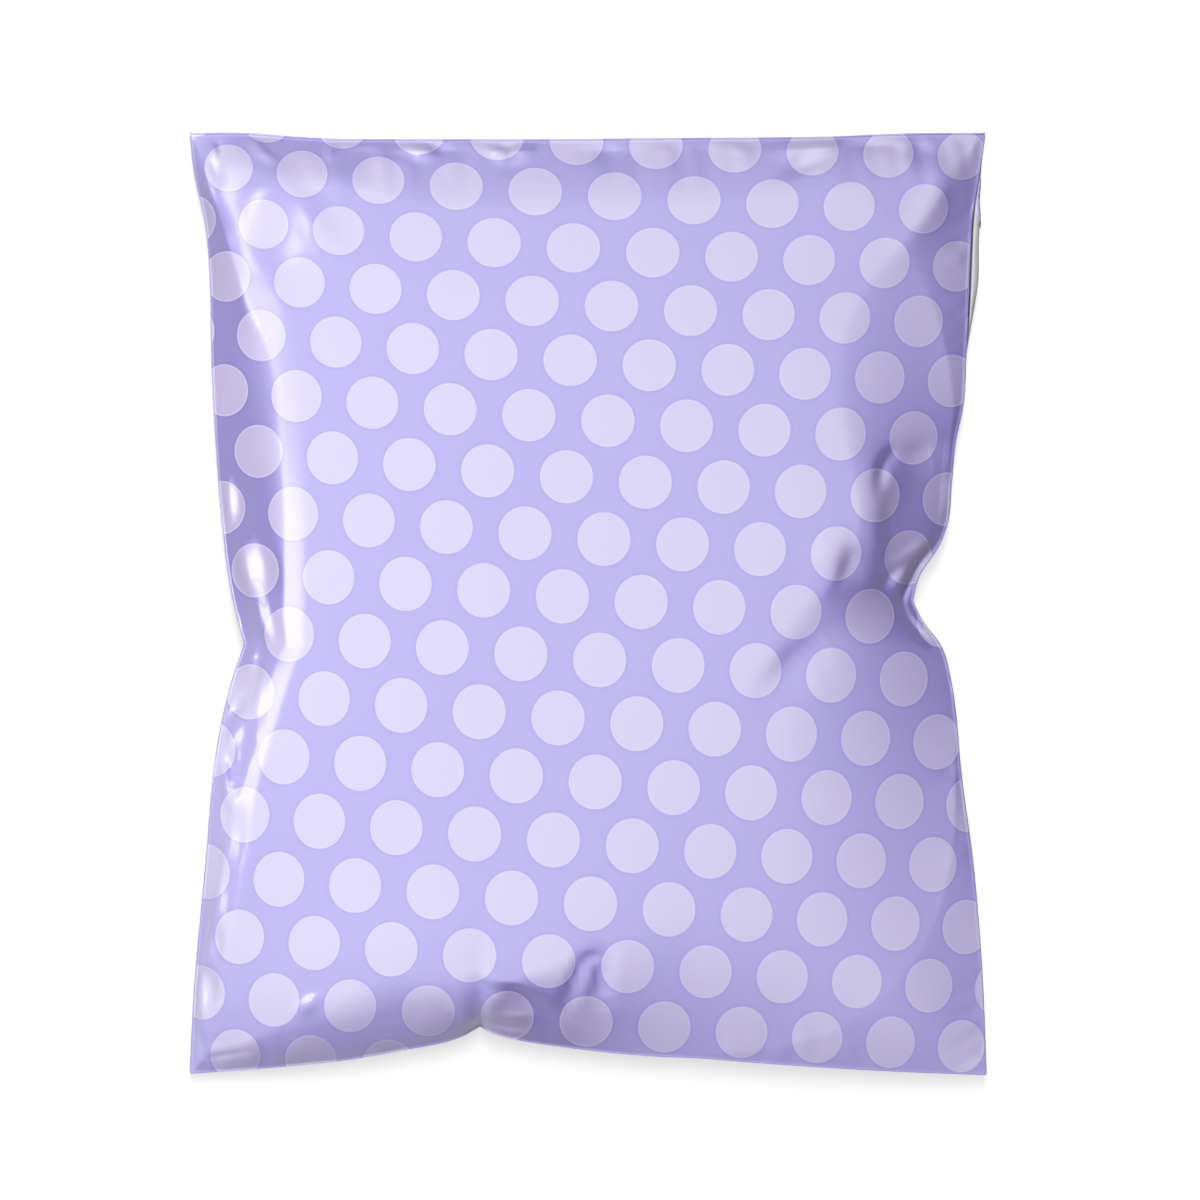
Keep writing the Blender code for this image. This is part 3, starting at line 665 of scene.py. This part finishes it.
def film_skin_group():
    """Blown film up close: fine orange peel, bands of uneven gauge, and faint scuffs."""
    tree = bpy.data.node_groups.new("FilmSkin", "ShaderNodeTree")
    socket(tree, "NodeSocketVector", "Place")
    socket(tree, "NodeSocketFloat", "Peel Size", 0.0011)
    socket(tree, "NodeSocketFloat", "Band Spacing", 0.021)
    socket(tree, "NodeSocketFloat", "Scuffing", 0.5)
    socket(tree, "NodeSocketFloat", "Height", output=True)
    socket(tree, "NodeSocketFloat", "Dullness", output=True)
    nodes, links = tree.nodes, tree.links
    entry = nodes.new("NodeGroupInput")
    leave = nodes.new("NodeGroupOutput")
    maths = maths_in(tree)

    def noise(scale, detail, stretch=(1, 1, 1)):
        stretched = nodes.new("ShaderNodeVectorMath")
        stretched.operation = "MULTIPLY"
        links.new(entry.outputs["Place"], stretched.inputs[0])
        stretched.inputs[1].default_value = stretch
        texture = nodes.new("ShaderNodeTexNoise")
        texture.inputs["Detail"].default_value = detail
        links.new(stretched.outputs[0], texture.inputs["Vector"])
        if isinstance(scale, (int, float)):
            texture.inputs["Scale"].default_value = scale
        else:
            links.new(scale, texture.inputs["Scale"])
        return texture.outputs["Fac"]

    peel = noise(maths("DIVIDE", 1.0, entry.outputs["Peel Size"]), 2.0)
    bands = noise(maths("DIVIDE", 1.0, entry.outputs["Band Spacing"]), 1.0, (0.06, 1, 0.3))
    scuffs = maths("SUBTRACT", noise(230.0, 5.0, (0.35, 1, 1)), 0.60)
    scuffs = maths("MULTIPLY", maths("MAXIMUM", scuffs, 0.0), 4.0)
    scuffs = maths("MULTIPLY", scuffs, entry.outputs["Scuffing"])
    height = maths("ADD", maths("MULTIPLY", peel, 0.25), maths("MULTIPLY", bands, 0.75))
    links.new(height, leave.inputs["Height"])
    links.new(maths("MINIMUM", scuffs, 1.0), leave.inputs["Dullness"])
    return tree


def add_skin(material, skin, roughness, scuffing, relief):
    """Feed the film's relief and dullness into a material's shader."""
    nodes, links = material.node_tree.nodes, material.node_tree.links
    shader = nodes["Principled BSDF"]
    place = nodes.new("ShaderNodeTexCoord")
    group = nodes.new("ShaderNodeGroup")
    group.node_tree = skin
    links.new(place.outputs["Object"], group.inputs["Place"])
    group.inputs["Scuffing"].default_value = scuffing
    spread = nodes.new("ShaderNodeMapRange")
    links.new(group.outputs["Dullness"], spread.inputs["Value"])
    spread.inputs["To Min"].default_value = roughness
    spread.inputs["To Max"].default_value = roughness + 0.14
    links.new(spread.outputs[0], shader.inputs["Roughness"])
    bump = nodes.new("ShaderNodeBump")
    bump.inputs["Strength"].default_value = 1.0
    bump.inputs["Distance"].default_value = relief
    links.new(group.outputs["Height"], bump.inputs["Height"])
    links.new(bump.outputs[0], shader.inputs["Normal"])


FILM_COLOUR = (0.545, 0.500, 0.910, 1.0)
DOT_COLOUR = (0.735, 0.690, 0.950, 1.0)
RIM_COLOUR = (0.80, 0.77, 0.97, 1.0)
RIM_STRENGTH = 0.5
HALO_TINT = (0.93, 0.93, 1.0, 1.0)
# Painted shade: a tint multiplied into the colour where the film turns away from the key lamp
PAINTED_AWAY_SHADE_TINT = (0.900, 0.845, 1.050, 1.0)
# Painted shade: the film and dot colours on the steep flanks, mixed in by the steep-flank mask
PAINTED_SHADE_FILM_COLOUR = (0.290, 0.252, 0.590, 1.0)
PAINTED_SHADE_DOT_COLOUR = (0.540, 0.475, 0.730, 1.0)

# The ink is a little duller than the bare film, which keeps its gloss as a coat
FILM_ROUGHNESS = 0.23
INK_GLOSS = 0.44
BARE_FILM_COAT = 0.64


def printed_film(dots, skin):
    """The film of the front: lilac with pale dots, with painted shade where it is steep and where
    it turns away from the key lamp.
    """
    material = bpy.data.materials.new("printed_film")
    material.use_nodes = True
    nodes, links = material.node_tree.nodes, material.node_tree.links
    shader = nodes["Principled BSDF"]
    place = nodes.new("ShaderNodeUVMap")
    place.uv_map = "film"
    group = nodes.new("ShaderNodeGroup")
    group.node_tree = dots
    links.new(place.outputs[0], group.inputs["Film Place"])
    # Painted shade on the steep flanks, read from the mesh's mask of it
    painted_flank_shade = nodes.new("ShaderNodeAttribute")
    painted_flank_shade.attribute_name = "painted_flank_shade"

    def mixed_colours(share, first, second, blend="MIX"):
        mix = nodes.new("ShaderNodeMix")
        mix.data_type = "RGBA"
        mix.blend_type = blend
        places = (mix.inputs[0], mix.inputs[6], mix.inputs[7])
        for place, value in zip(places, (share, first, second)):
            if isinstance(value, tuple):
                place.default_value = value
            else:
                links.new(value, place)
        return mix.outputs[2]

    # Painted shade where the film turns away from the key lamp, read from the mesh's mask of it
    away = nodes.new("ShaderNodeAttribute")
    away.attribute_name = "painted_away_shade"
    film = mixed_colours(painted_flank_shade.outputs["Fac"], FILM_COLOUR, PAINTED_SHADE_FILM_COLOUR)
    dot = mixed_colours(painted_flank_shade.outputs["Fac"], DOT_COLOUR, PAINTED_SHADE_DOT_COLOUR)
    film = mixed_colours(group.outputs["Halo"], film, HALO_TINT, "MULTIPLY")
    printed = mixed_colours(group.outputs["Dot"], film, dot)
    printed = mixed_colours(away.outputs["Fac"], printed, PAINTED_AWAY_SHADE_TINT, "MULTIPLY")
    rim = nodes.new("ShaderNodeMath")
    rim.operation = "MULTIPLY"
    links.new(group.outputs["Rim"], rim.inputs[0])
    rim.inputs[1].default_value = RIM_STRENGTH
    printed = mixed_colours(rim.outputs[0], printed, RIM_COLOUR)
    links.new(printed, shader.inputs["Base Color"])
    shader.inputs["Specular IOR Level"].default_value = INK_GLOSS
    shader.inputs["Coat Roughness"].default_value = FILM_ROUGHNESS
    gloss = nodes.new("ShaderNodeMapRange")
    links.new(group.outputs["Dot"], gloss.inputs["Value"])
    gloss.inputs["To Min"].default_value = BARE_FILM_COAT
    gloss.inputs["To Max"].default_value = 0.0
    links.new(gloss.outputs[0], shader.inputs["Coat Weight"])
    add_skin(material, skin, FILM_ROUGHNESS, 0.10, 0.00006)
    return material


BACK_COLOUR = (0.70, 0.70, 0.71, 1.0)


def plain_film(skin):
    """The unprinted film of the back."""
    material = bpy.data.materials.new("plain_back_film")
    material.use_nodes = True
    shader = material.node_tree.nodes["Principled BSDF"]
    shader.inputs["Base Color"].default_value = BACK_COLOUR
    add_skin(material, skin, 0.32, 0.6, 0.00008)
    return material


film_skin = film_skin_group()
printed = printed_film(dot_print_group(), film_skin)
plain = plain_film(film_skin)
bag_mesh.materials.append(printed)
bag_mesh.materials.append(plain)
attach(bag, "root")
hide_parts("mailer_bag")

# The closing lip
# Past the mouth the same printed film goes on as a flap, folded over at the top and stuck down
# on the back with a strip of glue. Its two corners are cut off at a slant.

LIP_LENGTH = 0.036
LIP_CORNER_CUT = 0.012
LIP_CELLS_ACROSS = 150
LIP_CELLS_DOWN = 34
LIP_FILM = 0.00014
FOLD_RADIUS = 0.00045
FOLD_SHARE = 3 / LIP_CELLS_DOWN
LIP_LOOSENESS = 0.0009
# Painted shade laid evenly over the whole lip, as if it turned away from the key lamp
LIP_PAINTED_AWAY_SHADE = 0.8


def lip_of(across, down, proud):
    """A point of the lip, from its fold at 0 down to its free edge at 1, proud of the back."""
    to_side = np.minimum(across, 1 - across) * BAG_WIDTH
    length = LIP_LENGTH - np.maximum(0.0, LIP_CORNER_CUT - to_side)
    flat_down = np.clip((down - FOLD_SHARE) / (1 - FOLD_SHARE), 0.0, 1.0)
    up = 1 - flat_down * length / BAG_LENGTH
    loose = 0.5 + 0.5 * np.sin(2 * math.pi * across * 2.6 + 1.2) * np.sin(9.0 * across + 0.4)
    proud = proud + LIP_LOOSENESS * loose * flat_down**5
    nudge = 1e-4
    inner = np.clip(across, nudge, 1 - nudge)
    lower = np.clip(up, 0.0, 1 - nudge)
    here = np.stack(back_of(inner, lower), 1)
    step_x = np.stack(back_of(inner + nudge, lower), 1) - here
    step_y = np.stack(back_of(inner, lower + nudge), 1) - here
    outward = np.cross(step_y, step_x)
    outward = outward / np.linalg.norm(outward, axis=1)[:, None]
    settled = np.stack(back_of(across, up), 1) + outward * proud[:, None]
    settled[:, 2] = np.maximum(settled[:, 2], 0.0)
    turn = math.pi * np.clip(1 - down / FOLD_SHARE, 0.0, 1.0)
    edge = np.stack(back_of(across, np.ones(across.shape)), 1)
    folded = edge + np.stack(
        [np.zeros(turn.shape), proud * np.sin(turn), WELD_THICKNESS / 2 - proud * np.cos(turn)], 1
    )
    return np.where((down < FOLD_SHARE)[:, None], folded, settled), flat_down * length


lip_mesh, flat, is_outer = sheet_mesh("closing_lip", LIP_CELLS_ACROSS, LIP_CELLS_DOWN)
proud = np.where(is_outer, FOLD_RADIUS, FOLD_RADIUS - LIP_FILM)
points, from_fold = lip_of(flat[:, 0], flat[:, 1], proud)
edge_y = BAG_HIGH.y - edge_inset(flat[:, 0], TOP_EDGE)
finish_sheet(lip_mesh, points, *print_place(points[:, 0], edge_y + from_fold))
inner_side = {index for index in range(len(flat)) if not is_outer[index]}
for face in lip_mesh.polygons:
    face.material_index = int(inner_side.issuperset(face.vertices))
# The lip's painted shade
mark_points(lip_mesh, "painted_away_shade", np.full(len(flat), LIP_PAINTED_AWAY_SHADE))
lip_mesh.materials.append(printed)
lip_mesh.materials.append(plain)
lip = bpy.data.objects.new("closing_lip", lip_mesh)
bpy.context.scene.collection.objects.link(lip)
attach(lip, "root")
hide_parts("mailer_bag")

# The side welds
# A hot wire cuts the bag off and melts its two films together down each side, which leaves a
# thin, slightly uneven bead along the very edge.


def bead_tree(material):
    """A bead along a path, its thickness wandering a little."""
    tree = bpy.data.node_groups.new("WeldBead", "GeometryNodeTree")
    socket(tree, "NodeSocketGeometry", "Path")
    socket(tree, "NodeSocketFloat", "Bead Radius", 0.00026)
    socket(tree, "NodeSocketFloat", "Unevenness", 0.5)
    socket(tree, "NodeSocketFloat", "Lump Spacing", 0.004)
    socket(tree, "NodeSocketInt", "Seed", 3)
    socket(tree, "NodeSocketGeometry", "Bead", output=True)
    nodes, links = tree.nodes, tree.links
    entry = nodes.new("NodeGroupInput")
    leave = nodes.new("NodeGroupOutput")
    curve = nodes.new("GeometryNodeMeshToCurve")
    links.new(entry.outputs["Path"], curve.inputs["Mesh"])
    scale = nodes.new("ShaderNodeMath")
    scale.operation = "DIVIDE"
    scale.inputs[0].default_value = 1.0
    links.new(entry.outputs["Lump Spacing"], scale.inputs[1])
    lumps = nodes.new("ShaderNodeTexNoise")
    lumps.noise_dimensions = "4D"
    links.new(entry.outputs["Seed"], lumps.inputs["W"])
    links.new(scale.outputs[0], lumps.inputs["Scale"])
    centred = nodes.new("ShaderNodeMath")
    centred.operation = "SUBTRACT"
    links.new(lumps.outputs["Fac"], centred.inputs[0])
    centred.inputs[1].default_value = 0.5
    share = nodes.new("ShaderNodeMath")
    share.operation = "MULTIPLY_ADD"
    links.new(centred.outputs[0], share.inputs[0])
    links.new(entry.outputs["Unevenness"], share.inputs[1])
    share.inputs[2].default_value = 1.0
    ring = nodes.new("GeometryNodeCurvePrimitiveCircle")
    ring.inputs["Resolution"].default_value = 8
    links.new(entry.outputs["Bead Radius"], ring.inputs["Radius"])
    tube = nodes.new("GeometryNodeCurveToMesh")
    links.new(curve.outputs[0], tube.inputs["Curve"])
    links.new(share.outputs[0], tube.inputs["Scale"])
    links.new(ring.outputs["Curve"], tube.inputs["Profile Curve"])
    tube.inputs["Fill Caps"].default_value = True
    smooth = nodes.new("GeometryNodeSetShadeSmooth")
    links.new(tube.outputs[0], smooth.inputs["Geometry"])
    realized = nodes.new("GeometryNodeRealizeInstances")
    links.new(smooth.outputs[0], realized.inputs[0])
    painted = nodes.new("GeometryNodeSetMaterial")
    painted.inputs["Material"].default_value = material
    links.new(realized.outputs[0], painted.inputs["Geometry"])
    links.new(painted.outputs[0], leave.inputs["Bead"])
    return tree


WELD_COLOUR = (0.44, 0.40, 0.76, 1.0)


def weld_film(skin):
    """The molten film of the beads, deeper in colour than the sheet."""
    material = bpy.data.materials.new("weld_film")
    material.use_nodes = True
    shader = material.node_tree.nodes["Principled BSDF"]
    shader.inputs["Base Color"].default_value = WELD_COLOUR
    add_skin(material, skin, 0.22, 0.1, 0.00003)
    return material


WELD_STATIONS = 420
WELD_ENDS = (0.002, 0.998)
BEAD = {"Bead Radius": 0.00026, "Unevenness": 0.7, "Lump Spacing": 0.0045, "Seed": 3}
bm = bmesh.new()
for side in (0.0, 1.0):
    up = np.linspace(*WELD_ENDS, WELD_STATIONS)
    x, y, _ = placed(np.full(up.shape, side), up)
    path = [bm.verts.new(point) for point in zip(x, y, rim_height(side, up))]
    for first, second in zip(path[:-1], path[1:]):
        bm.edges.new((first, second))
path_mesh = bpy.data.meshes.new("weld_path")
bm.to_mesh(path_mesh)
bm.free()
weld_path = bpy.data.objects.new("weld_path", path_mesh)
bpy.context.scene.collection.objects.link(weld_path)
modifier = weld_path.modifiers.new("bead", "NODES")
modifier.node_group = bead_tree(weld_film(film_skin))
names = {item.name: item.identifier for item in modifier.node_group.interface.items_tree}
for name, value in BEAD.items():
    modifier[names[name]] = value
bpy.context.view_layer.update()
made = weld_path.evaluated_get(bpy.context.evaluated_depsgraph_get())
weld_mesh = bpy.data.meshes.new_from_object(made)
weld_mesh.name = "side_welds"
weld_path.modifiers.clear()
bpy.data.objects.remove(weld_path)
welds = bpy.data.objects.new("side_welds", weld_mesh)
bpy.context.scene.collection.objects.link(welds)
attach(welds, "root")
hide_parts("mailer_bag")

# The table
# A plain white sweep, which shows pure white to the camera and keeps the bag's shadow.

TABLE_SIZE = 6.0
TABLE_DROP = 0.0003
TABLE_GLOW = 0.60
TABLE_GLOW_MIRRORED = 0.66
bpy.ops.mesh.primitive_plane_add(size=TABLE_SIZE, location=(0.0, 0.0, -TABLE_DROP))
table = bpy.context.object
table.name = "table"
surface = bpy.data.materials.new("white_table")
surface.use_nodes = True
nodes, links = surface.node_tree.nodes, surface.node_tree.links
nodes.clear()
out = nodes.new("ShaderNodeOutputMaterial")
path = nodes.new("ShaderNodeLightPath")
diffuse = nodes.new("ShaderNodeBsdfDiffuse")
whiteness = nodes.new("ShaderNodeMix")
whiteness.data_type = "RGBA"
whiteness.inputs[6].default_value = (0.12, 0.12, 0.12, 1)
whiteness.inputs[7].default_value = (0.9, 0.9, 0.9, 1)
links.new(path.outputs["Is Camera Ray"], whiteness.inputs[0])
links.new(whiteness.outputs[2], diffuse.inputs[0])
glow = nodes.new("ShaderNodeEmission")
seen = nodes.new("ShaderNodeMath")
seen.operation = "MULTIPLY"
links.new(path.outputs["Is Camera Ray"], seen.inputs[0])
seen.inputs[1].default_value = TABLE_GLOW
level = nodes.new("ShaderNodeMath")
level.operation = "MULTIPLY_ADD"
links.new(path.outputs["Is Glossy Ray"], level.inputs[0])
level.inputs[1].default_value = TABLE_GLOW_MIRRORED
links.new(seen.outputs[0], level.inputs[2])
links.new(level.outputs[0], glow.inputs["Strength"])
both = nodes.new("ShaderNodeAddShader")
links.new(diffuse.outputs[0], both.inputs[0])
links.new(glow.outputs[0], both.inputs[1])
links.new(both.outputs[0], out.inputs["Surface"])
table.data.materials.append(surface)

# The light
# A soft key lamp from the left, nearly overhead, and two strips that only show as reflections:
# a long one at the left, which draws the bright line along the left flank, and one at the upper
# left. The table has a lamp of its own, so that it stays white round the bag's shadow.


def lamp(name, place, aim, size, energy, diffuse_too=True):
    """A rectangular lamp that lights matt surfaces, or else shows in glossy ones alone."""
    data = bpy.data.lights.new(name, "AREA")
    data.shape = "RECTANGLE"
    data.size, data.size_y = size
    data.energy = energy
    holder = bpy.data.objects.new(name, data)
    bpy.context.scene.collection.objects.link(holder)
    holder.location = place
    direction = np.array(aim, float) - np.array(place, float)
    holder.rotation_euler = Vector(direction).to_track_quat("-Z", "Y").to_euler()
    holder.visible_diffuse = diffuse_too
    holder.visible_glossy = not diffuse_too
    return holder


CROWN = (0, 0, 0.03)
key = lamp("key", KEY_PLACE, (0, 0, 0), (0.40, 0.40), 19.2)
strip = lamp("left_strip", (-0.90, 0.05, 1.05), CROWN, (0.46, 1.0), 8.4, diffuse_too=False)
upper = lamp("upper_left_strip", (-0.80, 0.72, 0.98), CROWN, (0.5, 0.5), 4.4, diffuse_too=False)
table_lamp = lamp("table_lamp", (0.0, 1.05, 4.0), (0, 0, 0), (0.20, 1.6), 54.0)

lit_bag = bpy.data.collections.new("lit_bag")
for piece in (bag, lip, welds):
    lit_bag.objects.link(piece)
for light in (key, strip, upper):
    light.light_linking.receiver_collection = lit_bag
lit_table = bpy.data.collections.new("lit_table")
lit_table.objects.link(table)
table_lamp.light_linking.receiver_collection = lit_table

WORLD_FILL = 0.24
world = bpy.data.worlds.new("studio")
bpy.context.scene.world = world
world.use_nodes = True
nodes, links = world.node_tree.nodes, world.node_tree.links
background = nodes["Background"]
path = nodes.new("ShaderNodeLightPath")
strength = nodes.new("ShaderNodeMapRange")
links.new(path.outputs["Is Camera Ray"], strength.inputs["Value"])
strength.inputs["To Min"].default_value = WORLD_FILL
strength.inputs["To Max"].default_value = 1.0
links.new(strength.outputs[0], background.inputs["Strength"])
background.inputs["Color"].default_value = (1, 1, 1, 1)

# The camera
# It looks straight down from high above, so the bag shows with almost no perspective.

CAMERA_HEIGHT = 2.4
CAMERA_ASIDE = (0.0039, 0.00126)
FRAME_WIDTH = 0.3768
FRAME_HEIGHT_OVER_TABLE = 0.012
SENSOR_WIDTH = 36.0
camera_data = bpy.data.cameras.new("overhead")
camera = bpy.data.objects.new("overhead", camera_data)
bpy.context.scene.collection.objects.link(camera)
camera.location = (*CAMERA_ASIDE, CAMERA_HEIGHT)
camera_data.sensor_width = SENSOR_WIDTH
camera_data.lens = SENSOR_WIDTH * (CAMERA_HEIGHT - FRAME_HEIGHT_OVER_TABLE) / FRAME_WIDTH
bpy.context.scene.camera = camera
bpy.context.scene.view_settings.view_transform = "Standard"
